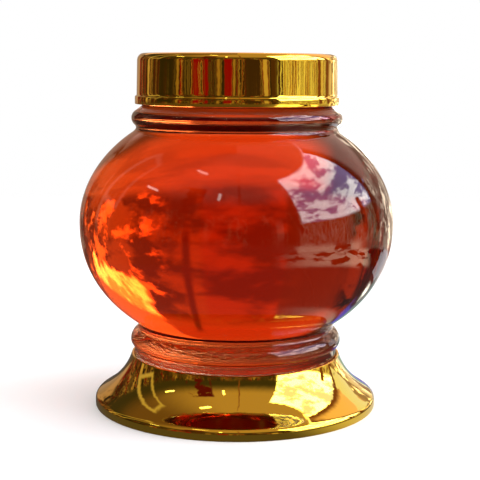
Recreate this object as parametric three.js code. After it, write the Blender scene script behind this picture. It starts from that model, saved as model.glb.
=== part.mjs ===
import * as THREE from "three";

// Liquor infusion jar: a round glass jar of liquor on a flared stand, with a screw lid.
// Sizes are millimetres. +Z is up, and the origin is on the table at the jar's axis.
// Every piece is turned about that axis, so each is one closed outline of radius and height.

// The outlines are turned in this many flat sides
const SIDES = 48;
// Clear space between pieces that rest on or in each other
const FIT_GAP = 0.3;
// Curve ends closer than this are one point
const MERGE_DISTANCE = 0.001;

// Stand: a moulded skirt with a standing ring, a trumpet flare and a plate that carries the glass
const STAND_RADIUS = 106.7;
const STAND_BAND_HEIGHT = 4.3;
const STAND_EDGE_RADIUS = 4.5;
const STAND_EDGE_TURN = 57;
const STAND_WALL = 2.8;
const STAND_FOOT_CHAMFER = 0.6;
const STAND_FOOT_WIDTH = 5.5;
const STAND_FOOT_HEIGHT = 2.4;
const STAND_PLATE_TOP = 33;
const STAND_PLATE_FILLET = 1;
const FLARE_FOOT_PULL = 4.9;
const FLARE_LIP_PULL = 20.5;
const FLARE_LIP_ANGLE = 71.5;
const LIP_RADIUS = 79.3;
const LIP_WIDTH = 2.2;
const LIP_TOP = 38.7;

// Glass foot, and the ring above it: one rounding above its widest line and one below
const GLASS_WALL = 4.5;
const GLASS_FLOOR = 4.5;
const FOOT_RADIUS = 76.8;
const FOOT_CORNER = 2.5;
const RING_RADIUS = 79.7;
const RING_HEIGHT = 49.5;
const RING_UPPER_ROUNDING = 9;
const RING_UPPER_TURN = 58;
const RING_LOWER_ROUNDING = 5.2;
const RING_LOWER_TURN = 63;
// Inside the ring the glass is hollowed to match, down to a tall rounded corner at the floor
const RING_HOLLOW_RADIUS = 74.5;
const RING_HOLLOW_ROUNDING = 7.5;
const RING_HOLLOW_TURN = 42;

// Round body: its section is an ellipse above the middle and slightly fuller below it
const BODY_RADIUS = 117.5;
const BODY_MIDDLE = 138;
const BODY_DROP = 94.1;
const BODY_RISE = 90.4;
const BODY_LOWER_POWER = 2.15;
const BODY_UPPER_POWER = 2;
// The body's sides stop at these radii, and roundings run on to the ring, the bead and the neck
const BODY_LOWER_END = 80;
const BODY_UPPER_END = 78;
const HOLLOW_END = 74;

// Solid bead round the bottom of the neck, then the plain neck up to the rim
const BEAD_CENTRE_RADIUS = 72.1;
const BEAD_HEIGHT = 216.2;
const BEAD_ROUNDING = 6.5;
const BEAD_LOWER_TURN = 50;
const BEAD_UPPER_TURN = 60;
const NECK_RADIUS = 70.5;
const NECK_FOOT = 226;
const RIM_TOP = 261;
const RIM_ROUNDING = 1.5;

// Liquor: filled up the neck, past the lid's lower edge, which hides its level
const LIQUOR_LEVEL = 249;

// Screw lid: a smooth wall over a slightly wider band, with a rounded edge and a low crown
const LID_BOTTOM = 226.4;
const LID_BOTTOM_CHAMFER = 0.5;
const LID_BAND_RADIUS = 76;
const LID_BAND_TOP = 232.6;
const LID_STEP_ROUNDING = 1;
const LID_WALL_RADIUS = 74.7;
const LID_SHOULDER_RADIUS = 74.2;
const LID_EDGE_WIDTH = 4.8;
const LID_EDGE_HEIGHT = 5.2;
const LID_EDGE_TOP = 263.5;
const LID_CROWN = 0.8;
const LID_BORE_RADIUS = 72.5;
const LID_CEILING = RIM_TOP + FIT_GAP;

const point = (radius, height) => new THREE.Vector2(radius, height);
const radians = THREE.MathUtils.degToRad;

/** An arc of a rounding, from one angle to another in degrees, measured from straight out. */
function arc(centreRadius, centreHeight, rounding, from, to, rise = rounding) {
  return new THREE.EllipseCurve(
    centreRadius, centreHeight, rounding, rise, radians(from), radians(to), to < from,
  );
}

/** One side of a round body, from its middle line in to a radius below it or above it. */
class BodySide extends THREE.Curve {
  constructor(reach, rise, power, endRadius, isLower) {
    super();
    const turn = Math.acos(endRadius / reach);
    this.from = isLower ? -turn : 0;
    this.to = isLower ? 0 : turn;
    Object.assign(this, { reach, rise, power });
  }

  getPoint(t) {
    const angle = THREE.MathUtils.lerp(this.from, this.to, t);
    const height = Math.abs(Math.sin(angle)) ** (2 / this.power) * this.rise;
    return point(this.reach * Math.cos(angle), BODY_MIDDLE + Math.sign(angle) * height);
  }
}

/** Both sides of the round body, for the glass's outer face or, less its wall, the inner one. */
function bodySides(wall, lowerEnd, upperEnd) {
  const reach = BODY_RADIUS - wall;
  return {
    lower: new BodySide(reach, BODY_DROP - wall, BODY_LOWER_POWER, lowerEnd, true),
    upper: new BodySide(reach, BODY_RISE - wall, BODY_UPPER_POWER, upperEnd, false),
  };
}

/** A rounded line from the end of one curve to the start of the next, in line with both. */
function blend(before, after) {
  const from = before.getPoint(1);
  const to = after.getPoint(0);
  const leaving = before.getTangent(1);
  const arriving = after.getTangent(0);
  const reach = to.clone().sub(from).cross(arriving) / leaving.cross(arriving);
  const corner = from.clone().addScaledVector(leaving, reach);
  return new THREE.QuadraticBezierCurve(from, corner, to);
}

/** The points of curves that follow on from each other, each given with its number of steps. */
function outline(...stretches) {
  const points = [];
  for (const [curve, steps] of stretches) {
    for (let i = 0; i <= steps; i += 1) {
      const next = curve.getPoint(i / steps);
      const last = points[points.length - 1];
      if (!last || last.distanceTo(next) > MERGE_DISTANCE) points.push(next);
    }
  }
  return points;
}

/** The same points moved sideways, to the left of the way that they run. */
function offset(points, distance) {
  return points.map((here, i) => {
    const before = points[Math.max(i - 1, 0)];
    const after = points[Math.min(i + 1, points.length - 1)];
    const way = after.clone().sub(before).normalize();
    return point(here.x - way.y * distance, here.y + way.x * distance);
  });
}

/** A named solid turned about +Z from an outline that runs outwards, up and back to the axis. */
function turned(name, profile, material) {
  const geometry = new THREE.LatheGeometry(profile, SIDES).rotateX(Math.PI / 2);
  const mesh = new THREE.Mesh(geometry, material);
  mesh.name = name;
  return mesh;
}

/** The skirt's outer face, from the top of its band up the flare to the lip. */
function skirtFace() {
  const edge = arc(
    STAND_RADIUS - STAND_EDGE_RADIUS, STAND_BAND_HEIGHT, STAND_EDGE_RADIUS, 0, STAND_EDGE_TURN,
  );
  const foot = edge.getPoint(1);
  const lip = point(LIP_RADIUS, LIP_TOP - LIP_WIDTH / 2);
  const lean = radians(FLARE_LIP_ANGLE);
  const alongLip = point(-Math.cos(lean), Math.sin(lean));
  const flare = new THREE.CubicBezierCurve(
    foot,
    foot.clone().addScaledVector(edge.getTangent(1), FLARE_FOOT_PULL),
    lip.clone().addScaledVector(alongLip, -FLARE_LIP_PULL),
    lip,
  );
  return outline([edge, 3], [flare, 9]);
}

function stand(material) {
  const face = skirtFace();
  const under = STAND_PLATE_TOP - STAND_WALL;
  const hollow = offset(face, STAND_WALL)
    .filter((p) => p.y < under - STAND_PLATE_FILLET)
    .reverse();
  const footInside = STAND_RADIUS - STAND_FOOT_WIDTH;
  const lipRounding = LIP_WIDTH / 2;
  const lip = outline([arc(LIP_RADIUS - lipRounding, LIP_TOP - lipRounding, lipRounding, 0, 180), 4]);
  return turned("stand", [
    point(0, under),
    point(hollow[0].x - STAND_PLATE_FILLET, under),
    ...hollow,
    point(footInside, STAND_FOOT_HEIGHT),
    point(footInside, 0),
    point(STAND_RADIUS - STAND_FOOT_CHAMFER, 0),
    point(STAND_RADIUS, STAND_FOOT_CHAMFER),
    ...face,
    ...lip.slice(1),
    point(LIP_RADIUS - LIP_WIDTH, STAND_PLATE_TOP),
    point(0, STAND_PLATE_TOP),
  ], material);
}

/** The glass jar's outer face, from the middle of its foot up to the rim. */
function jarOutside() {
  const bottom = STAND_PLATE_TOP + FIT_GAP;
  const corner = arc(FOOT_RADIUS - FOOT_CORNER, bottom + FOOT_CORNER, FOOT_CORNER, -90, 0);
  const ringLower = arc(
    RING_RADIUS - RING_LOWER_ROUNDING, RING_HEIGHT, RING_LOWER_ROUNDING, -RING_LOWER_TURN, 0,
  );
  const ringUpper = arc(
    RING_RADIUS - RING_UPPER_ROUNDING, RING_HEIGHT, RING_UPPER_ROUNDING, 0, RING_UPPER_TURN,
  );
  const { lower, upper } = bodySides(0, BODY_LOWER_END, BODY_UPPER_END);
  const bead = arc(
    BEAD_CENTRE_RADIUS, BEAD_HEIGHT, BEAD_ROUNDING, -BEAD_LOWER_TURN, BEAD_UPPER_TURN,
  );
  const rimFoot = RIM_TOP - RIM_ROUNDING;
  const neck = new THREE.LineCurve(point(NECK_RADIUS, NECK_FOOT), point(NECK_RADIUS, rimFoot));
  const rim = arc(NECK_RADIUS - RIM_ROUNDING, rimFoot, RIM_ROUNDING, 0, 90);
  return [
    point(0, bottom),
    ...outline(
      [corner, 2], [ringLower, 3], [ringUpper, 4], [blend(ringUpper, lower), 4],
      [lower, 7], [upper, 7], [blend(upper, bead), 3], [bead, 6],
      [blend(bead, neck), 2], [neck, 1], [rim, 2],
    ),
  ];
}

/** The glass jar's inner face, from the middle of its floor up to just under the rim. */
function jarInside() {
  const floor = STAND_PLATE_TOP + FIT_GAP + GLASS_FLOOR;
  const bore = NECK_RADIUS - GLASS_WALL;
  const cornerRadius = RING_HOLLOW_RADIUS - RING_HOLLOW_ROUNDING;
  const corner = arc(cornerRadius, RING_HEIGHT, RING_HOLLOW_ROUNDING, -90, 0, RING_HEIGHT - floor);
  const hollow = arc(cornerRadius, RING_HEIGHT, RING_HOLLOW_ROUNDING, 0, RING_HOLLOW_TURN);
  const { lower, upper } = bodySides(GLASS_WALL, HOLLOW_END, HOLLOW_END);
  const neck = new THREE.LineCurve(point(bore, BEAD_HEIGHT), point(bore, RIM_TOP - RIM_ROUNDING));
  return [
    point(0, floor),
    ...outline(
      [corner, 3], [hollow, 2], [blend(hollow, lower), 2], [lower, 7], [upper, 7],
      [blend(upper, neck), 3], [neck, 1],
    ),
  ];
}

function jar(material) {
  const rimInside = arc(
    NECK_RADIUS - GLASS_WALL + RIM_ROUNDING, RIM_TOP - RIM_ROUNDING, RIM_ROUNDING, 90, 180,
  );
  const inside = jarInside().reverse().slice(1);
  return turned("jar", [...jarOutside(), ...outline([rimInside, 2]), ...inside], material);
}

function liquor(material) {
  const side = offset(jarInside(), FIT_GAP).filter((p) => p.y < LIQUOR_LEVEL);
  const levelRadius = side[side.length - 1].x;
  return turned("liquor", [
    point(0, side[0].y),
    ...side.slice(1),
    point(levelRadius, LIQUOR_LEVEL),
    point(0, LIQUOR_LEVEL),
  ], material);
}

function lid(material) {
  const step = arc(
    LID_BAND_RADIUS - LID_STEP_ROUNDING, LID_BAND_TOP - LID_STEP_ROUNDING, LID_STEP_ROUNDING, 0, 90,
  );
  const edge = arc(
    LID_SHOULDER_RADIUS - LID_EDGE_WIDTH, LID_EDGE_TOP - LID_EDGE_HEIGHT,
    LID_EDGE_WIDTH, 0, 90, LID_EDGE_HEIGHT,
  );
  return turned("lid", [
    point(0, LID_CEILING),
    point(LID_BORE_RADIUS, LID_CEILING),
    point(LID_BORE_RADIUS, LID_BOTTOM),
    point(LID_BAND_RADIUS - LID_BOTTOM_CHAMFER, LID_BOTTOM),
    point(LID_BAND_RADIUS, LID_BOTTOM + LID_BOTTOM_CHAMFER),
    ...outline([step, 2]),
    point(LID_WALL_RADIUS, LID_BAND_TOP + LID_STEP_ROUNDING / 2),
    ...outline([edge, 5]),
    point(0, LID_EDGE_TOP + LID_CROWN),
  ], material);
}

const gold = new THREE.MeshStandardMaterial({ color: 0xd9ab45, roughness: 0.06, metalness: 1 });
const glass = new THREE.MeshStandardMaterial({
  color: 0xe9f1ee, roughness: 0.02, metalness: 0, transparent: true, opacity: 0.25,
});
const drink = new THREE.MeshStandardMaterial({
  color: 0xd8401c, roughness: 0.05, metalness: 0, transparent: true, opacity: 0.8,
});

const part = new THREE.Group();
part.add(stand(gold), jar(glass), liquor(drink), lid(gold));

export default part;
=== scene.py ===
"""Liquor infusion jar: a round glass jar of orange-red liquor, with a gold-plated stand and lid."""
from math import acos, cos, degrees, pi, radians, sin

import bpy
from mathutils import Matrix, Vector


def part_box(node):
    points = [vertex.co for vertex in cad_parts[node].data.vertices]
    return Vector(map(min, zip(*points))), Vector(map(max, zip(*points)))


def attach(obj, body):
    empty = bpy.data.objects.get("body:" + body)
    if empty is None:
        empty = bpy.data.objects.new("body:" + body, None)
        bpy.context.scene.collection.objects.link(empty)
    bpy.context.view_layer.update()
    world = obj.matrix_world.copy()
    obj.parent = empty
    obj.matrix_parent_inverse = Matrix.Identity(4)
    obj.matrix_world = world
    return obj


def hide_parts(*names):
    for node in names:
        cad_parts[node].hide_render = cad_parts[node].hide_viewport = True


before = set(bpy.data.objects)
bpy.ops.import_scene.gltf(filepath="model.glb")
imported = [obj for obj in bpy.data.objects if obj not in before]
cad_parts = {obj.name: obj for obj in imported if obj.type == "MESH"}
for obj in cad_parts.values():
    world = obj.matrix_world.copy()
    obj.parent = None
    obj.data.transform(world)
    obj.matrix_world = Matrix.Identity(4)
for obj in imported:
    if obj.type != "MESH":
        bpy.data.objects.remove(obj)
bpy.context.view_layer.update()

MM = 0.001

# Overall sizes, read from the frame, in metres
stand_low, stand_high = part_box("stand")
jar_low, jar_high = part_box("jar")
liquor_low, liquor_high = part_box("liquor")
lid_low, lid_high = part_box("lid")

# Stand
STAND_RADIUS = stand_high.x
STAND_BAND_HEIGHT = 4.3 * MM
STAND_EDGE_ROUNDING = 4.5 * MM
STAND_EDGE_TURN = 57
STAND_WALL = 2.8 * MM
STAND_FOOT_ROUNDING = 0.6 * MM
STAND_FOOT_WIDTH = 5.5 * MM
STAND_FOOT_HEIGHT = 2.4 * MM
STAND_PLATE_TOP = jar_low.z - 0.3 * MM
FLARE_FOOT_PULL = 4.9 * MM
FLARE_LIP_PULL = 20.5 * MM
FLARE_LIP_ANGLE = 71.5
LIP_RADIUS = 79.3 * MM
LIP_WIDTH = 2.2 * MM
LIP_TOP = stand_high.z

# Glass
GLASS_WALL = 4.5 * MM
GLASS_BOTTOM = jar_low.z
GLASS_FLOOR = 4.5 * MM
FOOT_RADIUS = 76.8 * MM
FOOT_CORNER = 2.5 * MM
RING_RADIUS = 79.7 * MM
RING_HEIGHT = 49.5 * MM
RING_UPPER_ROUNDING = 9 * MM
RING_UPPER_TURN = 58
RING_LOWER_ROUNDING = 5.2 * MM
RING_LOWER_TURN = 63
RING_HOLLOW_RADIUS = 74.5 * MM
RING_HOLLOW_ROUNDING = 7.5 * MM
RING_HOLLOW_TURN = 42
BODY_RADIUS = jar_high.x
BODY_MIDDLE = 138 * MM
BODY_DROP = 94.1 * MM
BODY_RISE = 90.4 * MM
BODY_LOWER_POWER = 2.15
BODY_UPPER_POWER = 2
BODY_LOWER_END = 80 * MM
BODY_UPPER_END = 78 * MM
HOLLOW_END = 74 * MM
BEAD_CENTRE_RADIUS = 72.1 * MM
BEAD_HEIGHT = 216.2 * MM
BEAD_ROUNDING = 6.5 * MM
BEAD_LOWER_TURN = 50
BEAD_UPPER_TURN = 60
NECK_RADIUS = 70.5 * MM
NECK_FOOT = 226 * MM
RIM_TOP = jar_high.z
RIM_ROUNDING = 1.5 * MM

# Liquor
LIQUOR_LEVEL = liquor_high.z
LIQUOR_INTO_WALL = 0.4 * MM
MENISCUS_RISE = 1.2 * MM
MENISCUS_WIDTH = 4 * MM

# Lid
LID_BOTTOM = lid_low.z
LID_BAND_RADIUS = lid_high.x
LID_BAND_TOP = 232.6 * MM
LID_STEP_ROUNDING = 1 * MM
LID_FOOT_ROUNDING = 0.5 * MM
LID_WALL_RADIUS = 74.7 * MM
LID_SHOULDER_RADIUS = 74.2 * MM
LID_EDGE_WIDTH = 4.8 * MM
LID_EDGE_HEIGHT = 5.2 * MM
LID_TOP = lid_high.z
LID_CROWN = 0.8 * MM
LID_BORE_RADIUS = 72.5 * MM
LID_CEILING = RIM_TOP + 0.3 * MM

# Finishes: tones as red, green and blue, and how many waves or grains each has along a metre
GOLD_TONES = [(0.88, 0.56, 0.045), (0.95, 0.65, 0.07)]
GOLD_WAVES = 14
GOLD_RIPPLES = 170
GOLD_RIPPLE_SHARE = 0.03
GOLD_GRAIN = 220
GOLD_DEPTH = 1.5 * MM
PLASTIC_TONES = [(0.86, 0.79, 0.64), (0.91, 0.85, 0.72)]
PLASTIC_GRAIN = 90
PLASTIC_DEPTH = 0.1 * MM
GLASS_TINT = (0.985, 1, 0.99)
GLASS_RIPPLES = 30
GLASS_SMUDGES = 60
GLASS_DEPTH = 0.3 * MM
STIPPLE_GRAIN = 260
STIPPLE_DEPTH = 0.8 * MM

# How much glass and liquor bend light, and the liquor's colour and how quickly it deepens in a metre
GLASS_BENDING = 1.5
LIQUOR_BENDING = 1.36
LIQUOR_TINT = (0.92, 0.43, 0.0)
LIQUOR_DEPTH = 30

# Floor, and the lamp over it
FLOOR_RADIUS = 1.6
FLOOR_SIDES = 96
FLOOR_FADE_START = 0.5
FLOOR_COLOUR = (0.9, 0.9, 0.9)
FLOOR_LIGHT_HEIGHT = 2.5
FLOOR_LIGHT_SIZE = 3.5
FLOOR_LIGHT_POWER = 25

# The table that glass and gold show in place of the floor: a painted reflection, glowing tones with painted
# shade and painted light in them, with distances from the axis in metres
# Darker near the jar, with painted light close by on the right; far off on the left, painted shade
TABLE_NEAR = (0.10, 0.085, 0.075)
TABLE_NEAR_BEHIND = (0.36, 0.5, 0.45)
TABLE_NEAR_RIGHT_LIT = (0.75, 0.68, 0.5)
TABLE_NEAR_RIGHT_END = (0.12, 0.135)
TABLE_LEFT_SHADE = (0.12, 0.08, 0.05)
TABLE_RIGHT = (0.45, 0.36, 0.22)
TABLE_RIGHT_SHADE = (0.05, 0.03, 0.015)
TABLE_RIGHT_LIT = (3, 2.4, 1.6)
TABLE_BEHIND = (1.3, 1.3, 1.3)
TABLE_BEHIND_SHADE = (1, 0.95, 0.9)
TABLE_FAR_START = (0.31, 0.37)
TABLE_END = (0.55, 0.65)

# Spots of the table: how many there are along a metre, and from which values of their pattern they show; on
# the right the pale spots are painted light among painted shade
TABLE_SPOTS = 9
TABLE_LIT_SPOTS = (0.45, 0.53)
TABLE_LIT_END = (96, 108)
TABLE_BEHIND_SPOTS = (0.4, 0.55)

# A blue patch of the table, and a painted glint on it: angles, distances, spots and tone
TABLE_PATCHES = [
    ((112, 150, 4), (0.14, 0.19, 0.01), (0.38, 0.5), (0.25, 0.22, 1.0)),
    ((119, 128, 3), (0.2, 0.26, 0.02), (0.4, 0.52), (6, 6, 5)),
]

# Where the tone at the right takes over from the one at the left, and where the tone behind shows
RIGHT_START = (20, 60)
BACK_SPAN = (-9, 50, 3)

# Studio tones
CEILING_LEFT = (0.16, 0.09, 0.05)
CEILING_TONE = (0.5, 0.34, 0.22)
WALL_TONE = (0.05, 0.042, 0.025)
POST_TONE = (0.22, 0.08, 0.04)
CRIMSON = (0.26, 0.004, 0.004)
DARK_CRIMSON = (0.10, 0.008, 0.008)
GOLD_LINE = (0.36, 0.22, 0.09)
FRAME_TONE = (0.55, 0.45, 0.3)
CLOUD_TONE = (8, 8, 8)
SKY_TONE = (1.2, 1.3, 2.6)
LAMP_TONE = (6, 6, 5)
BEHIND_TONE = (0.95, 0.8, 0.6)
BEHIND_DARK = (0.4, 0.28, 0.2)
BEHIND_HIGH = (1.15, 0.75, 0.6)
BEHIND_SPARK = (3.6, 3.1, 2.3)
BEHIND_LEFT_TONES = [(0.03, 0.02, 0.012), (0.5, 0.32, 0.2)]
PALE_SHAPE_TONES = [(0.42, 0.24, 0.18), (0.95, 0.6, 0.45)]
STRIP_STOPS = [
    (0.30, (0.03, 0.022, 0.012)), (0.39, (0.05, 0.028, 0.02)), (0.41, (0.45, 0.28, 0.13)),
    (0.435, (0.2, 0.12, 0.06)), (0.445, (0.05, 0.025, 0.02)), (0.47, (0.24, 0.12, 0.06)),
    (0.495, (0.02, 0.012, 0.006)), (0.512, (0.28, 0.006, 0.006)), (0.53, (0.2, 0.004, 0.004)),
    (0.54, (0.5, 0.32, 0.16)), (0.56, (0.03, 0.014, 0.006)), (0.60, (0.06, 0.03, 0.012)),
    (0.615, (0.6, 0.4, 0.2)), (0.66, (0.28, 0.17, 0.1)),
]
SILL_STOPS = [
    (0.30, (0.04, 0.02, 0.01)), (0.375, (0.10, 0.05, 0.02)), (0.39, (0.95, 0.95, 0.6)),
    (0.425, (0.75, 0.68, 0.4)), (0.435, (0.1, 0.04, 0.015)), (0.45, (0.8, 0.78, 0.4)),
    (0.475, (0.6, 0.3, 0.12)), (0.49, (0.05, 0.025, 0.01)), (0.505, (0.9, 0.9, 0.6)),
    (0.54, (0.6, 0.32, 0.12)), (0.555, (0.08, 0.03, 0.012)), (0.57, (1.05, 1.05, 0.7)),
    (0.62, (0.7, 0.5, 0.25)), (0.66, (0.2, 0.1, 0.04)),
]

# Studio patterns: how each is stretched across, along and up, its detail and its roughness
STRIPS = ((6, 6, 1), 4, 0.62)
BLOCKS = ((5, 5, 0.3), 1, 0.5)
PATCHES = ((3, 3, 5), 4, 0.6)
BLOTCHES = ((9, 9, 12), 3, 0.6)
CLOUDS = ((3.6, 3.6, 8), 6, 0.6)

# From which values of its pattern a thing in the studio shows
BLOCK_EDGE = (0.50, 0.53)
BLOCK_STRENGTH = 0.75
CRIMSON_EDGE = (0.44, 0.5)
GROUND_EDGE = (0.46, 0.52)
CLOUD_EDGE = (0.44, 0.54)
POST_EDGE = (0.34, 0.40)
BEHIND_LEFT_EDGE = (0.46, 0.54)
BEHIND_EDGE = (0.44, 0.56)
BEHIND_SPARK_EDGE = (0.52, 0.66)
PALE_SHAPE_EDGE = (0.42, 0.58)

# Studio places: angles in degrees to the right of the front, then up, each with how soft its edge is
CEILING_LIGHTENS = (-125, -20)
GROUND_END = (-2, 1)
WALL_HEAD = (30, 46)
PALE_GROUND = ((44, 102, 4), (-30, -9, 4))
STRIP_WALL = ((-185, 150, 3), (-9, 24, 3))
SILL_START = (44, 48)
CRIMSON_PLACE = ((-55, -28, 1.5), (22, 50, 1.5))
FRAME_OUTSIDE = ((-121, -99, 1.5), (12, 53, 1.5))
FRAME_INSIDE = ((-117, -102, 1.5), (16, 50, 1.5))
WINDOW = ((48, 138, 1.5), (12, 57, 1.5))
POSTS = [((104, 109, 1), (-5, 20, 1)), ((121, 165, 1), (-5, 57, 1))]
THIN_POST = ((2.5, 4, 0.4), (24, 75, 0.4))
CEILING_LAMPS = [
    ((-59, -41, 0.8), (65.1, 66.9, 0.5)),
    ((-16.2, -13.8, 0.8), (40.5, 47.5, 0.5)),
    ((-84, -72, 0.8), (37.2, 38.8, 0.5)),
]

# Upright lines on the wall: where each starts and ends, and its tone
UPRIGHTS = [
    (-121, -117, (0.6, 0.42, 0.22)), (-98, -76, (0.03, 0.022, 0.008)), (-71, -68, GOLD_LINE),
    (-50, -44, CRIMSON), (-37, -33, CRIMSON), (-23, -20, GOLD_LINE), (-15, -6, CRIMSON),
    (-5, -2.5, GOLD_LINE), (8, 25, (0.05, 0.025, 0.012)), (29, 34, (0.6, 0.45, 0.25)),
    (38, 43, (0.08, 0.035, 0.01)), (104, 109, (0.08, 0.035, 0.01)), (120, 124, (0.15, 0.06, 0.02)),
]
UPRIGHT_SOFTNESS = 0.8
UPRIGHT_HEIGHTS = (-4, 14, 8)

# Places behind the jar: angles to the right of straight behind it, then up
BEHIND_LEFT = ((-32, -24, 2), (-14, 26, 3))
BEHIND = ((-24, 52, 4), (-14, 58, 3))
BEHIND_LIGHTENS = (-14, 6)
BEHIND_SPARK_START = (10, 16)
BEHIND_HIGH_START = (17, 22)
PALE_SHAPE = ((-8, 5, 0.7), (-15, 18, 1))
PALE_POST = ((7, 8.4, 0.5), (-5, 24, 2))

# Cards: centre, width and height in metres, and turn in degrees
BRIGHT_CARD = ((0.085, 0.3, 0.208), 0.12, 0.142, 0)
LOW_CARD = ((0.186, 0.065, 0.07), 0.05, 0.045, -40)

# Bright card: its glare up to a height, a plainer light over it, and its rough left and lower edges
GLARE_TONE = (20, 20, 18)
GLARE_EDGE_TONE = (8, 7, 5)
GLARE_TOP = 0.183
GLARE_TOP_SOFTNESS = 0.006
GLARE_SHAPES = 14
GLARE_SHAPE_EDGE = (0.38, 0.46)
GLARE_SPOTS = 38
GLARE_SPOT_EDGE = (0.42, 0.58)
BRIGHT_TONE = (2.6, 2.6, 2.4)
CARD_PATCHES = 26
CARD_PATCH_REACH = 0.05
CARD_LEFT = (0.046, 0.056)
CARD_FOOT = (0.166, 0.174)
CARD_ROUGHNESS = 0.6

# Low card
LOW_CARD_TONE = (1.0, 1.05, 1.1)
LOW_CARD_SHAPES = 30
LOW_CARD_EDGE = (0.36, 0.44)

# Light crosses several skins of glass and liquor, and is mirrored by the gold under them
LIGHT_BOUNCES = 32

# How finely the outlines are drawn and turned
TURNED_SIDES = 160
SMOOTH_UP_TO = 35
FINE_STEP = 0.7 * MM
BODY_STEP = 2.6 * MM
STRAIGHT_STEP = 2 * MM
SAME_PLACE = 0.01 * MM

# The photograph's camera: distance and height from the axis's foot, step aside, tilt down, and lean
CAMERA_DISTANCE = 877.6 * MM
CAMERA_HEIGHT = 251 * MM
CAMERA_ASIDE = 2.9 * MM
CAMERA_PITCH = 8.22
CAMERA_ROLL = 0.45
CAMERA_LENS = 87.76
SENSOR_WIDTH = 36


def steps_along(length, step):
    return max(2, round(length / step))


def arc(centre_radius, centre_height, rounding, start, end, rise=None):
    """Points of a rounding, from one angle to another in degrees, measured from straight out."""
    rise = rise or rounding
    count = steps_along(abs(radians(end - start)) * max(rounding, rise), FINE_STEP)
    angles = [radians(start + (end - start) * i / count) for i in range(count + 1)]
    return [Vector((centre_radius + rounding * cos(a), centre_height + rise * sin(a))) for a in angles]


def curve(from_point, *pulls_and_end):
    """Points of a Bezier curve from a point to an end, drawn aside by one or two pulls."""
    corners = [from_point, *pulls_and_end]
    length = sum((b - a).length for a, b in zip(corners, corners[1:]))
    count = steps_along(length, FINE_STEP)
    points = []
    for i in range(count + 1):
        level = corners
        while len(level) > 1:
            level = [a.lerp(b, i / count) for a, b in zip(level, level[1:])]
        points.append(level[0])
    return points


def body_side(wall, end_radius, is_lower):
    """Points of the round body's side, between its middle line and a radius below or above it."""
    reach = BODY_RADIUS - wall
    rise = (BODY_DROP if is_lower else BODY_RISE) - wall
    power = BODY_LOWER_POWER if is_lower else BODY_UPPER_POWER
    turn = acos(end_radius / reach)
    count = steps_along(turn * reach, BODY_STEP)
    points = []
    for i in range(count + 1):
        angle = turn * i / count
        height = sin(angle) ** (2 / power) * rise
        points.append(Vector((reach * cos(angle), BODY_MIDDLE + (-height if is_lower else height))))
    return points[::-1] if is_lower else points


def blend(before, after):
    """Points of a rounding from the end of one curve to the start of the next, in line with both."""
    leaving = before[-1] - before[-2]
    arriving = after[1] - after[0]
    gap = after[0] - before[-1]
    reach = gap.cross(arriving) / leaving.cross(arriving)
    return curve(before[-1], before[-1] + leaving * reach, after[0])


def chain(*stretches):
    """One outline from points and lists of points that follow on, with points along its straight runs."""
    outline = []
    for stretch in stretches:
        for point in stretch if isinstance(stretch, list) else [Vector(stretch)]:
            last = outline[-1] if outline else point
            gap = (point - last).length
            if outline and gap <= SAME_PLACE:
                continue
            count = max(1, round(gap / STRAIGHT_STEP))
            outline += [last.lerp(point, (i + 1) / count) for i in range(count)]
    return outline


def offset(outline, distance):
    """The same outline moved sideways, to the right of the way that it runs."""
    moved = []
    for i, here in enumerate(outline):
        way = (outline[min(i + 1, len(outline) - 1)] - outline[max(i - 1, 0)]).normalized()
        moved.append(here + Vector((way.y, -way.x)) * distance)
    return moved


def turn(name, outline):
    """Draws an outline from the axis, out, up and back to the axis, and spins it into a closed piece."""
    bpy.ops.object.select_all(action="DESELECT")
    bpy.ops.mesh.primitive_plane_add(size=MM)
    piece = bpy.context.object
    piece.name = piece.data.name = name
    bpy.ops.object.mode_set(mode="EDIT")
    bpy.ops.mesh.select_all(action="SELECT")
    bpy.ops.mesh.merge(type="CENTER")
    bpy.ops.transform.translate(value=(outline[0].x, 0, outline[0].y))
    for here, there in zip(outline, outline[1:]):
        step = there - here
        bpy.ops.mesh.extrude_region_move(TRANSFORM_OT_translate={"value": (step.x, 0, step.y)})
    bpy.ops.mesh.select_all(action="SELECT")
    bpy.ops.mesh.spin(steps=TURNED_SIDES, angle=2 * pi, center=(0, 0, 0), axis=(0, 0, 1))
    bpy.ops.mesh.select_all(action="SELECT")
    bpy.ops.mesh.remove_doubles(threshold=SAME_PLACE)
    bpy.ops.mesh.normals_make_consistent(inside=False)
    bpy.ops.object.mode_set(mode="OBJECT")
    bpy.ops.object.shade_smooth_by_angle(angle=radians(SMOOTH_UP_TO))
    return piece


def stand_outline():
    edge = arc(
        STAND_RADIUS - STAND_EDGE_ROUNDING, STAND_BAND_HEIGHT, STAND_EDGE_ROUNDING, 0, STAND_EDGE_TURN
    )
    edge_way = (edge[-1] - edge[-2]).normalized()
    lip_start = Vector((LIP_RADIUS, LIP_TOP - LIP_WIDTH / 2))
    lip_way = Vector((-cos(radians(FLARE_LIP_ANGLE)), sin(radians(FLARE_LIP_ANGLE))))
    flare = curve(
        edge[-1], edge[-1] + edge_way * FLARE_FOOT_PULL, lip_start - lip_way * FLARE_LIP_PULL, lip_start
    )
    face = chain(edge, flare)
    under = STAND_PLATE_TOP - STAND_WALL
    hollow = [p for p in offset(face, -STAND_WALL) if p.y < under - MM][::-1]
    foot_inside = STAND_RADIUS - STAND_FOOT_WIDTH
    lip = arc(LIP_RADIUS - LIP_WIDTH / 2, LIP_TOP - LIP_WIDTH / 2, LIP_WIDTH / 2, 0, 180)
    foot = arc(STAND_RADIUS - STAND_FOOT_ROUNDING, STAND_FOOT_ROUNDING, STAND_FOOT_ROUNDING, -90, 0)
    return chain(
        (0, under), (hollow[0].x - MM, under), hollow,
        (foot_inside, STAND_FOOT_HEIGHT), (foot_inside, 0), foot,
        face, lip, (LIP_RADIUS - LIP_WIDTH, STAND_PLATE_TOP), (0, STAND_PLATE_TOP),
    )


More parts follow.
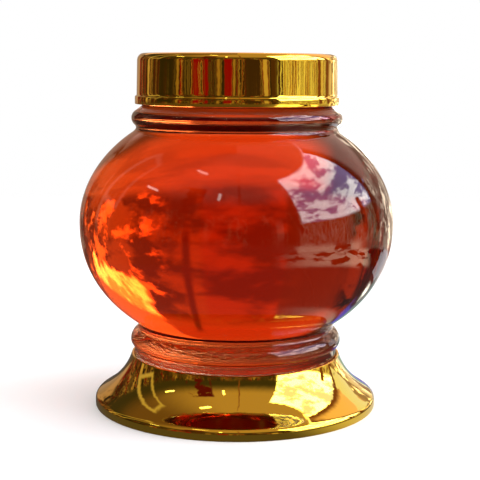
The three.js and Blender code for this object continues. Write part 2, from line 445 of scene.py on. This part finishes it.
def glass_inside():
    """The jar's inner face, from the middle of its floor up to just under the rim."""
    floor = GLASS_BOTTOM + GLASS_FLOOR
    bore = NECK_RADIUS - GLASS_WALL
    corner_radius = RING_HOLLOW_RADIUS - RING_HOLLOW_ROUNDING
    corner = arc(corner_radius, RING_HEIGHT, RING_HOLLOW_ROUNDING, -90, 0, RING_HEIGHT - floor)
    corner += arc(corner_radius, RING_HEIGHT, RING_HOLLOW_ROUNDING, 0, RING_HOLLOW_TURN)[1:]
    lower = body_side(GLASS_WALL, HOLLOW_END, True)
    upper = body_side(GLASS_WALL, HOLLOW_END, False)
    neck = [Vector((bore, BEAD_HEIGHT)), Vector((bore, RIM_TOP - RIM_ROUNDING))]
    return chain((0, floor), corner, blend(corner, lower), lower, upper, blend(upper, neck), neck)


def glass_outline():
    foot = arc(FOOT_RADIUS - FOOT_CORNER, GLASS_BOTTOM + FOOT_CORNER, FOOT_CORNER, -90, 0)
    ring_lower = arc(
        RING_RADIUS - RING_LOWER_ROUNDING, RING_HEIGHT, RING_LOWER_ROUNDING, -RING_LOWER_TURN, 0
    )
    ring_upper = arc(
        RING_RADIUS - RING_UPPER_ROUNDING, RING_HEIGHT, RING_UPPER_ROUNDING, 0, RING_UPPER_TURN
    )
    lower = body_side(0, BODY_LOWER_END, True)
    upper = body_side(0, BODY_UPPER_END, False)
    bead = arc(BEAD_CENTRE_RADIUS, BEAD_HEIGHT, BEAD_ROUNDING, -BEAD_LOWER_TURN, BEAD_UPPER_TURN)
    neck = [Vector((NECK_RADIUS, NECK_FOOT)), Vector((NECK_RADIUS, RIM_TOP - RIM_ROUNDING))]
    rim_foot = RIM_TOP - RIM_ROUNDING
    rim_out = arc(NECK_RADIUS - RIM_ROUNDING, rim_foot, RIM_ROUNDING, 0, 90)
    rim_in = arc(NECK_RADIUS - GLASS_WALL + RIM_ROUNDING, rim_foot, RIM_ROUNDING, 90, 180)
    return chain(
        (0, GLASS_BOTTOM), foot, ring_lower, ring_upper, blend(ring_upper, lower), lower, upper,
        blend(upper, bead), bead, blend(bead, neck), neck, rim_out, rim_in, glass_inside()[::-1],
    )


def liquor_outline():
    side = [p for p in offset(glass_inside(), LIQUOR_INTO_WALL) if p.y < LIQUOR_LEVEL]
    side[0].x = 0
    wall = side[-1].x
    meniscus = curve(
        Vector((wall, LIQUOR_LEVEL + MENISCUS_RISE)),
        Vector((wall - MENISCUS_WIDTH / 3, LIQUOR_LEVEL)),
        Vector((wall - MENISCUS_WIDTH, LIQUOR_LEVEL)),
    )
    return chain(side, meniscus, (0, LIQUOR_LEVEL))


def lid_outline():
    foot = arc(
        LID_BAND_RADIUS - LID_FOOT_ROUNDING, LID_BOTTOM + LID_FOOT_ROUNDING, LID_FOOT_ROUNDING, -90, 0
    )
    step = arc(
        LID_BAND_RADIUS - LID_STEP_ROUNDING, LID_BAND_TOP - LID_STEP_ROUNDING, LID_STEP_ROUNDING, 0, 90
    )
    edge_top = LID_TOP - LID_CROWN
    edge = arc(
        LID_SHOULDER_RADIUS - LID_EDGE_WIDTH, edge_top - LID_EDGE_HEIGHT,
        LID_EDGE_WIDTH, 0, 90, LID_EDGE_HEIGHT,
    )
    return chain(
        (0, LID_CEILING), (LID_BORE_RADIUS, LID_CEILING), (LID_BORE_RADIUS, LID_BOTTOM),
        foot, step, (LID_WALL_RADIUS, LID_BAND_TOP + LID_STEP_ROUNDING / 2), edge,
        curve(edge[-1], Vector((edge[-1].x / 2, LID_TOP)), Vector((0, LID_TOP))),
    )


class Value:
    """A shader socket that adds Math nodes when it is used in an expression."""

    def __init__(self, shading, socket):
        self.shading = shading
        self.socket = socket

    def maths(self, operation, *operands):
        return self.shading.node("ShaderNodeMath", {"operation": operation}, dict(enumerate(operands)))

    def __add__(self, other):
        return self.maths("ADD", self, other)

    def __sub__(self, other):
        return self.maths("SUBTRACT", self, other)

    def __rsub__(self, other):
        return self.maths("SUBTRACT", other, self)

    def __mul__(self, other):
        return self.maths("MULTIPLY", self, other)

    __radd__ = __add__
    __rmul__ = __mul__

    def rise(self, low, high):
        """Nought below one value and one above another, with a smooth rise between them."""
        return self.shading.node(
            "ShaderNodeMapRange", {"interpolation_type": "SMOOTHSTEP"}, {"Value": self, 1: low, 2: high}
        )

    def within(self, low, high, softness):
        """One between two values, and nought outside them, with soft edges."""
        return self.rise(low - softness, low + softness) * (1 - self.rise(high - softness, high + softness))


class Shading:
    """The nodes of one material, or of the studio's surroundings."""

    def __init__(self, owner):
        owner.use_nodes = True
        self.owner = owner
        self.tree = owner.node_tree

    def node(self, kind, settings=None, inputs=None, output=0):
        """Adds a node of a type, with its settings, then its sockets' values or links."""
        made = self.tree.nodes.new(kind)
        for name, value in (settings or {}).items():
            if name == "stops":
                ramp = made.color_ramp.elements
                while len(ramp) < len(value):
                    ramp.new(0.5)
                for stop, (position, colour) in zip(ramp, value):
                    stop.position = position
                    stop.color = (*colour, 1)
            else:
                setattr(made, name, value)
        for socket, value in (inputs or {}).items():
            if isinstance(value, Value):
                self.tree.links.new(value.socket, made.inputs[socket])
            else:
                made.inputs[socket].default_value = value
        return Value(self, made.outputs[output])

    def noise(self, place, scale, detail=2, roughness=0.5):
        return self.node(
            "ShaderNodeTexNoise",
            inputs={"Vector": place, "Scale": scale, "Detail": detail, "Roughness": roughness},
        )

    def mix(self, factor, first, second):
        """A colour between two colours, each a link or three numbers."""
        colours = [c if isinstance(c, Value) else (*c, 1) for c in (first, second)]
        return self.node("ShaderNodeMix", {"data_type": "RGBA"}, {0: factor, 6: colours[0], 7: colours[1]}, 2)

    def parts(self, vector):
        split = self.node("ShaderNodeSeparateXYZ", inputs={0: vector})
        return [Value(self, socket) for socket in split.socket.node.outputs]

    def angle(self, across, ahead):
        return self.node("ShaderNodeMath", {"operation": "ARCTAN2"}, {0: across, 1: ahead}) * degrees(1)

    def around(self, across, ahead, left, right, behind):
        """One tone to the left, one to the right and one behind the jar."""
        to_back = self.angle(across, ahead * -1)
        sides = self.mix(self.angle(across, ahead).rise(*RIGHT_START), left, right)
        return self.mix(to_back.within(*BACK_SPAN), sides, behind)

    def plainly_seen(self):
        """One for what the camera sees, and for light that matt surfaces gather."""
        camera = self.node("ShaderNodeLightPath", output="Is Camera Ray")
        matt = self.node("ShaderNodeLightPath", output="Is Diffuse Ray")
        return self.node("ShaderNodeMath", {"operation": "MAXIMUM"}, {0: camera, 1: matt})


class Finish(Shading):
    """A procedural material round one Principled shader."""

    def __init__(self, name, **constants):
        super().__init__(bpy.data.materials.new(name))
        self.shader = self.tree.nodes["Principled BSDF"]
        self.output = self.tree.nodes["Material Output"]
        for socket, value in constants.items():
            self.shader.inputs[socket.replace("_", " ")].default_value = value

    def set(self, socket, value):
        self.tree.links.new(value.socket, self.shader.inputs[socket])

    def place(self):
        return self.node("ShaderNodeTexCoord", output="Object")

    def bump(self, height, distance):
        return self.node("ShaderNodeBump", inputs={"Height": height, "Distance": distance})


def plated_gold(name):
    finish = Finish(name, Metallic=1, Roughness=0.05, Coat_Weight=0.3, Coat_Roughness=0.03)
    place = finish.place()
    waves = finish.noise(place, GOLD_WAVES, detail=1)
    ripples = finish.noise(place, GOLD_RIPPLES, detail=1)
    grain = finish.noise(place, GOLD_GRAIN, detail=3)
    finish.set("Base Color", finish.mix(waves, *GOLD_TONES))
    finish.set("Roughness", grain * 0.03 + 0.02)
    finish.set("Normal", finish.bump(waves + ripples * GOLD_RIPPLE_SHARE, GOLD_DEPTH))
    return finish.owner


def bare_plastic(name):
    """The moulding itself, inside the lid, where no plating is."""
    finish = Finish(name, Roughness=0.45)
    grain = finish.noise(finish.place(), PLASTIC_GRAIN, detail=3)
    finish.set("Base Color", finish.mix(grain, *PLASTIC_TONES))
    finish.set("Normal", finish.bump(grain, PLASTIC_DEPTH))
    return finish.owner


def clear_glass(name, bending):
    finish = Finish(name, Base_Color=(*GLASS_TINT, 1), Transmission_Weight=1, IOR=bending)
    place = finish.place()
    ripples = finish.noise(place, GLASS_RIPPLES, detail=1)
    smudges = finish.noise(place, GLASS_SMUDGES, detail=4)
    finish.set("Roughness", smudges * 0.02)
    finish.set("Normal", finish.bump(ripples, GLASS_DEPTH))
    return finish.owner


def stippled_glass(name):
    """The underside of the jar's foot, which is pressed with a fine grain."""
    finish = Finish(
        name, Base_Color=(*GLASS_TINT, 1), Transmission_Weight=1, IOR=GLASS_BENDING, Roughness=0.12
    )
    grain = finish.noise(finish.place(), STIPPLE_GRAIN)
    finish.set("Normal", finish.bump(grain, STIPPLE_DEPTH))
    return finish.owner


def orange_red_liquor(name):
    """Only the colour: the wetted glass already bends light straight into the liquor."""
    finish = Finish(name, Base_Color=(1, 1, 1, 1), Transmission_Weight=1, IOR=1, Roughness=0)
    absorb = finish.node(
        "ShaderNodeVolumeAbsorption", inputs={"Color": (*LIQUOR_TINT, 1), "Density": LIQUOR_DEPTH}
    )
    finish.tree.links.new(absorb.socket, finish.output.inputs["Volume"])
    return finish.owner


def looks_in(face):
    """Whether a face looks to the axis, or straight up or down."""
    return face.center.x * face.normal.x + face.center.y * face.normal.y < SAME_PLACE ** 2


def glass_finish(face):
    """Which finish a face of the glass has: dry, against the liquor, or stippled underneath."""
    if face.center.z < GLASS_BOTTOM + SAME_PLACE:
        return 2
    return int(looks_in(face) and GLASS_BOTTOM + MM < face.center.z < LIQUOR_LEVEL)


def is_bare(face):
    """Whether a face of the lid is inside it, where it isn't plated."""
    return looks_in(face) and face.center.z < LID_CEILING + MM


def dress(piece, node, finishes, finish_of=None):
    """Gives a piece its finishes, one of them to each of its faces, and its place in the part."""
    for finish in finishes:
        piece.data.materials.append(finish)
    if finish_of:
        for face in piece.data.polygons:
            face.material_index = finish_of(face)
    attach(piece, "root")
    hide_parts(node)


def floor():
    """A pale floor that fades into the white behind it; glass and gold show a table of other tones there, a
    painted reflection that glows with painted shade and painted light.
    """
    bpy.ops.object.select_all(action="DESELECT")
    bpy.ops.mesh.primitive_circle_add(vertices=FLOOR_SIDES, radius=FLOOR_RADIUS, fill_type="NGON")
    sheet = bpy.context.object
    sheet.name = "floor"
    paper = Finish("pale_floor", Base_Color=(*FLOOR_COLOUR, 1), Roughness=0.9)
    place = paper.place()
    x, y = paper.parts(place)[:2]
    ahead = y * -1
    to_side = paper.angle(x, ahead)
    away = paper.node("ShaderNodeVectorMath", {"operation": "LENGTH"}, {0: place}, "Value")
    spots = paper.noise(place, TABLE_SPOTS, detail=3)
    # Near the jar the tones are darker, with painted light close by on the right; far off on the left is
    # painted shade
    near_right = paper.mix(away.rise(*TABLE_NEAR_RIGHT_END), TABLE_NEAR_RIGHT_LIT, TABLE_NEAR)
    near = paper.around(x, ahead, TABLE_NEAR, near_right, TABLE_NEAR_BEHIND)
    # Painted light: bright spots on the right among painted shade, ending further round
    pale = spots.rise(*TABLE_LIT_SPOTS) * (1 - to_side.rise(*TABLE_LIT_END))
    far_right = paper.mix(pale, TABLE_RIGHT_SHADE, TABLE_RIGHT_LIT)
    far_behind = paper.mix(spots.rise(*TABLE_BEHIND_SPOTS), TABLE_BEHIND_SHADE, TABLE_BEHIND)
    far = paper.around(x, ahead, TABLE_LEFT_SHADE, far_right, far_behind)
    tone = paper.mix(away.rise(*TABLE_FAR_START), near, far)
    # A blue patch, and a painted glint
    for angles, distances, spots_shown, patch_tone in TABLE_PATCHES:
        patch = to_side.within(*angles) * away.within(*distances) * spots.rise(*spots_shown)
        tone = paper.mix(patch, tone, patch_tone)
    # The table glows: its tones are painted reflections of light and shade, which only glass, liquor and gold
    # show
    table = paper.node("ShaderNodeEmission", inputs={0: tone, 1: 1})
    plain = Value(paper, paper.shader.outputs[0])
    seen = paper.plainly_seen()
    both = paper.node("ShaderNodeMixShader", inputs={0: seen, 1: table, 2: plain})
    clear = paper.node("ShaderNodeBsdfTransparent")
    fade = seen * away.rise(FLOOR_FADE_START, FLOOR_RADIUS) + (1 - seen) * away.rise(*TABLE_END)
    faded = paper.node("ShaderNodeMixShader", inputs={0: fade, 1: both, 2: clear})
    paper.tree.links.new(faded.socket, paper.output.inputs["Surface"])
    sheet.data.materials.append(paper.owner)


def card(name, centre, width, height, turned):
    """An upright card that only the glass, the liquor and the gold show; gives back its finish."""
    bpy.ops.object.select_all(action="DESELECT")
    bpy.ops.mesh.primitive_plane_add(size=1, location=centre, rotation=(radians(90), 0, radians(turned)))
    sheet = bpy.context.object
    sheet.name = name
    sheet.scale = (width, height, 1)
    bpy.ops.object.transform_apply(location=True, rotation=True, scale=True)
    finish = Finish(name)
    sheet.data.materials.append(finish.owner)
    sheet.visible_camera = sheet.visible_diffuse = sheet.visible_shadow = False
    return finish


def light_up(finish, tone, shown):
    """Makes a card glow in a tone where it is shown, and leaves it clear elsewhere."""
    lit = finish.node("ShaderNodeEmission", inputs={0: tone, 1: 1})
    clear = finish.node("ShaderNodeBsdfTransparent")
    both = finish.node("ShaderNodeMixShader", inputs={0: shown, 1: clear, 2: lit})
    finish.tree.links.new(both.socket, finish.output.inputs["Surface"])


def bright_card():
    """A card behind the jar, to the right, with a broken glare under a plainer light."""
    finish = card("bright_card", *BRIGHT_CARD)
    place = finish.place()
    across, _, height = finish.parts(place)
    shapes = finish.noise(place, GLARE_SHAPES, 4, CARD_ROUGHNESS)
    patches = finish.noise(place, CARD_PATCHES, 4, CARD_ROUGHNESS)
    spots = finish.noise(place, GLARE_SPOTS, 3, CARD_ROUGHNESS)
    glare = finish.mix(spots.rise(*GLARE_SPOT_EDGE), GLARE_EDGE_TONE, GLARE_TONE)
    is_over = height.rise(GLARE_TOP - GLARE_TOP_SOFTNESS, GLARE_TOP + GLARE_TOP_SOFTNESS)
    shown = is_over + (1 - is_over) * shapes.rise(*GLARE_SHAPE_EDGE)
    left = (across + patches * CARD_PATCH_REACH).rise(*CARD_LEFT)
    foot = (height + patches * CARD_PATCH_REACH).rise(*CARD_FOOT)
    light_up(finish, finish.mix(is_over, glare, BRIGHT_TONE), shown * left * foot)


def low_card():
    """A small card low down beside the stand, which lights the right end of its flare."""
    finish = card("low_card", *LOW_CARD)
    shapes = finish.noise(finish.place(), LOW_CARD_SHAPES, detail=3)
    light_up(finish, (*LOW_CARD_TONE, 1), shapes.rise(*LOW_CARD_EDGE))


def floor_light():
    """A wide softbox overhead that lights the floor and isn't mirrored in the gold and the glass."""
    light = bpy.data.lights.new("floor_light", "AREA")
    light.size = FLOOR_LIGHT_SIZE
    light.energy = FLOOR_LIGHT_POWER
    lamp = bpy.data.objects.new("floor_light", light)
    bpy.context.collection.objects.link(lamp)
    lamp.location.z = FLOOR_LIGHT_HEIGHT
    lamp.visible_camera = lamp.visible_glossy = lamp.visible_transmission = False


class Studio(Shading):
    """The surroundings, painted by the way that is looked in."""

    def __init__(self, world):
        super().__init__(world)
        self.way = self.node("ShaderNodeTexCoord", output="Generated")
        x, y, z = self.parts(self.way)
        self.to_side = self.angle(x, y * -1)
        self.to_back = self.angle(x, y)
        self.upward = self.node("ShaderNodeMath", {"operation": "ARCSINE"}, {0: z}) * degrees(1)
        self.view = self.around(x, y * -1, TABLE_LEFT_SHADE, TABLE_RIGHT, TABLE_BEHIND)

    def pattern(self, stretch, detail, roughness):
        """A noise over the ways that can be looked in."""
        way = self.node("ShaderNodeVectorMath", {"operation": "MULTIPLY"}, {0: self.way, 1: stretch})
        return self.noise(way, 1, detail, roughness)

    def paint(self, mask, tone):
        self.view = self.mix(mask, self.view, tone)

    def panel(self, sideways, heights):
        """One inside a place that is measured from the front, and nought outside it."""
        return self.to_side.within(*sideways) * self.upward.within(*heights)

    def back_panel(self, sideways, heights):
        """The same for a place that is measured from straight behind the jar."""
        return self.to_back.within(*sideways) * self.upward.within(*heights)


def surroundings():
    """What shows in the gold, the glass and the liquor: a dim, warm room and a window with a cloudy sky."""
    world = bpy.data.worlds.new("studio")
    bpy.context.scene.world = world
    air = Studio(world)
    strips = air.pattern(*STRIPS)
    blocks = air.pattern(*BLOCKS)
    patches = air.pattern(*PATCHES)
    blotches = air.pattern(*BLOTCHES)
    clouds = air.pattern(*CLOUDS)

    # Wall and ceiling, darker to the left, over the ground
    ceiling = air.mix(air.to_side.rise(*CEILING_LIGHTENS), CEILING_LEFT, CEILING_TONE)
    air.paint(air.upward.rise(*GROUND_END), air.mix(air.upward.rise(*WALL_HEAD), WALL_TONE, ceiling))
    ground = air.mix(patches.rise(*GROUND_EDGE), TABLE_RIGHT_SHADE, TABLE_RIGHT_LIT)
    air.paint(air.panel(*PALE_GROUND), ground)

    # Upright strips along the wall, and brighter ones under the window
    dim = air.node("ShaderNodeValToRGB", {"stops": STRIP_STOPS}, {0: strips})
    darkest = STRIP_STOPS[0][1]
    dim = air.mix(blocks.rise(*BLOCK_EDGE) * BLOCK_STRENGTH, dim, darkest)
    bright = air.node("ShaderNodeValToRGB", {"stops": SILL_STOPS}, {0: strips})
    air.paint(air.panel(*STRIP_WALL), air.mix(air.to_side.rise(*SILL_START), dim, bright))
    for left, right, tone in UPRIGHTS:
        air.paint(air.panel((left, right, UPRIGHT_SOFTNESS), UPRIGHT_HEIGHTS), tone)
    air.paint(air.panel(*CRIMSON_PLACE) * strips.rise(*CRIMSON_EDGE), DARK_CRIMSON)
    air.paint(air.panel(*FRAME_OUTSIDE) * (1 - air.panel(*FRAME_INSIDE)), FRAME_TONE)

    # Window with clouds, and posts before and beside it
    air.paint(air.panel(*WINDOW), air.mix(clouds.rise(*CLOUD_EDGE), SKY_TONE, CLOUD_TONE))
    for place in POSTS:
        air.paint(air.panel(*place) * patches.rise(*POST_EDGE), POST_TONE)
    air.paint(air.panel(*THIN_POST), POST_TONE)

    # Behind: dim on the left, lighter with sparks to the right, and a pale shape and post in the middle
    air.paint(air.back_panel(*BEHIND_LEFT), air.mix(patches.rise(*BEHIND_LEFT_EDGE), *BEHIND_LEFT_TONES))
    lightness = patches.rise(*BEHIND_EDGE) * air.to_back.rise(*BEHIND_LIGHTENS)
    room = air.mix(lightness, BEHIND_DARK, BEHIND_TONE)
    sparks = blotches.rise(*BEHIND_SPARK_EDGE) * air.to_back.rise(*BEHIND_SPARK_START)
    room = air.mix(sparks, room, BEHIND_SPARK)
    room = air.mix(air.upward.rise(*BEHIND_HIGH_START), room, BEHIND_HIGH)
    air.paint(air.back_panel(*BEHIND), room)
    air.paint(air.back_panel(*PALE_SHAPE), air.mix(patches.rise(*PALE_SHAPE_EDGE), *PALE_SHAPE_TONES))
    air.paint(air.back_panel(*PALE_POST), PALE_SHAPE_TONES[0])

    # Lamps under the ceiling
    for place in CEILING_LAMPS:
        air.paint(air.panel(*place), LAMP_TONE)

    white = air.node("ShaderNodeBackground", inputs={"Color": (1, 1, 1, 1), "Strength": 1})
    seen = air.node("ShaderNodeBackground", inputs={"Color": air.view, "Strength": 1})
    both = air.node("ShaderNodeMixShader", inputs={0: air.plainly_seen(), 1: seen, 2: white})
    air.tree.links.new(both.socket, air.tree.nodes["World Output"].inputs["Surface"])


def camera():
    data = bpy.data.cameras.new("camera")
    data.lens = CAMERA_LENS
    data.sensor_width = SENSOR_WIDTH
    seen_from = bpy.data.objects.new("camera", data)
    bpy.context.collection.objects.link(seen_from)
    seen_from.matrix_world = (
        Matrix.Translation((CAMERA_ASIDE, -CAMERA_DISTANCE, CAMERA_HEIGHT))
        @ Matrix.Rotation(radians(90 - CAMERA_PITCH), 4, "X")
        @ Matrix.Rotation(radians(CAMERA_ROLL), 4, "Z")
    )
    bpy.context.scene.camera = seen_from


camera()
floor()
floor_light()
bright_card()
low_card()
surroundings()

gold = plated_gold("plated_gold")
lid_finishes = [gold, bare_plastic("bare_plastic")]
glass_finishes = [
    clear_glass("clear_glass", GLASS_BENDING),
    clear_glass("wetted_glass", GLASS_BENDING / LIQUOR_BENDING),
    stippled_glass("stippled_glass"),
]
liquor = orange_red_liquor("orange_red_liquor")
dress(turn("gold_stand", stand_outline()), "stand", [gold])
dress(turn("glass_jar", glass_outline()), "jar", glass_finishes, glass_finish)
dress(turn("gold_lid", lid_outline()), "lid", lid_finishes, is_bare)
dress(turn("orange_red_liquor", liquor_outline()), "liquor", [liquor])

scene = bpy.context.scene
scene.view_settings.view_transform = "Standard"
scene.cycles.max_bounces = LIGHT_BOUNCES
scene.cycles.transmission_bounces = LIGHT_BOUNCES
scene.cycles.glossy_bounces = LIGHT_BOUNCES
